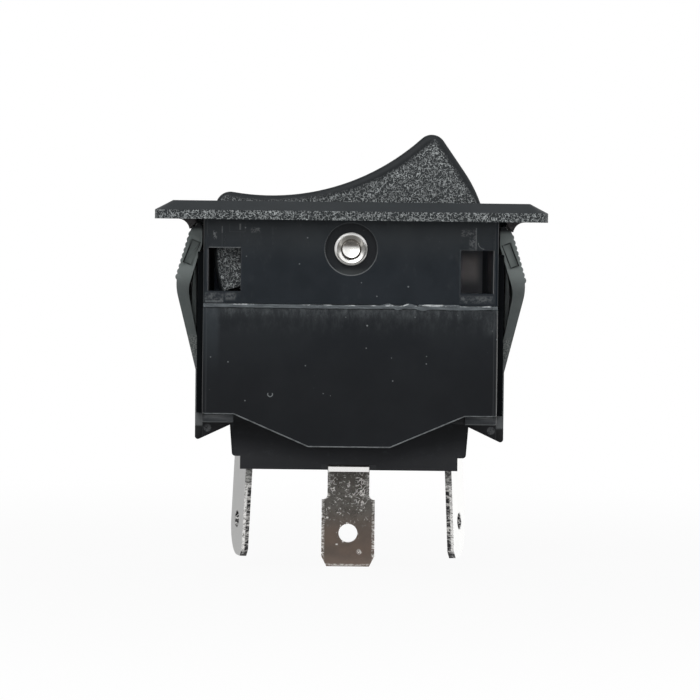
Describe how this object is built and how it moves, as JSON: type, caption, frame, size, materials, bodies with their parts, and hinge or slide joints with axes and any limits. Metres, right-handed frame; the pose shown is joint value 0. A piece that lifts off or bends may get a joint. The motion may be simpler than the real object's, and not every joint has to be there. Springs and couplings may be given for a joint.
{
  "type": "rocker switch",
  "caption": "Snap-in rocker headlight switch with a dished paddle in a bevelled bezel, toothed snap wings and blade terminals.",
  "frame": {"origin": "centre of the panel seat, the underside of the bezel's flange", "axes": "+X along the switch, +Y across it away from the windowed side, +Z out of the panel towards the rocker"},
  "size_m": [0.0454, 0.025, 0.0511],
  "materials": {
    "bezel_nylon": "satin, with a grained rim",
    "rocker_nylon": "coarse pebble grain with smooth edges",
    "housing_phenolic": "glossy, with dust and scuffs",
    "base_nylon": "matte dark grey",
    "gasket_sheet": "thin pale-edged sheet",
    "rivet_nickel": "bright nickel plate",
    "end_terminal_metal": "tinned",
    "centre_terminal_metal": "dull tinned, specked",
    "arm_copper": "bare copper alloy",
    "contact_silver": "silver alloy",
    "spring_steel": "drawn wire",
    "plunger_acetal": "natural acetal"
  },
  "bodies": {
    "case": {"bezel_frame": "bezel_nylon", "seal_gasket": "gasket_sheet", "contact_housing": "housing_phenolic", "terminal_base": "base_nylon", "pivot_rivet": "rivet_nickel", "common_terminal": "centre_terminal_metal", "left_terminal": "end_terminal_metal", "right_terminal": "end_terminal_metal", "fixed_contact_left": "contact_silver", "fixed_contact_right": "contact_silver"},
    "rocker": {"rocker": "rocker_nylon", "plunger_spring": "spring_steel"},
    "plunger": {"plunger": "plunger_acetal"},
    "contact_arm": {"contact_arm": "arm_copper", "moving_contact_left": "contact_silver", "moving_contact_right": "contact_silver"}
  },
  "joints": [
    {"name": "rocker_tilt", "type": "hinge", "parent": "case", "child": "rocker", "pos_m": [0, 0, -0.0033], "axis": [0, 1, 0], "range_deg": [0, 32.8]},
    {"name": "contact_tilt", "type": "hinge", "parent": "case", "child": "contact_arm", "pos_m": [0, 0, -0.0168], "axis": [0, 1, 0], "range_deg": [-16, 0]},
    {"name": "plunger_slide", "type": "slide", "parent": "rocker", "child": "plunger", "axis": [-0.2823, 0, 0.9593], "range_m": [0, 0.0008], "stiffness_N_per_m": 150, "deforming": ["plunger_spring"]}
  ],
  "couplings": [
    {"joint": "contact_tilt", "follows": "rocker_tilt", "ratio": -0.4878}
  ]
}
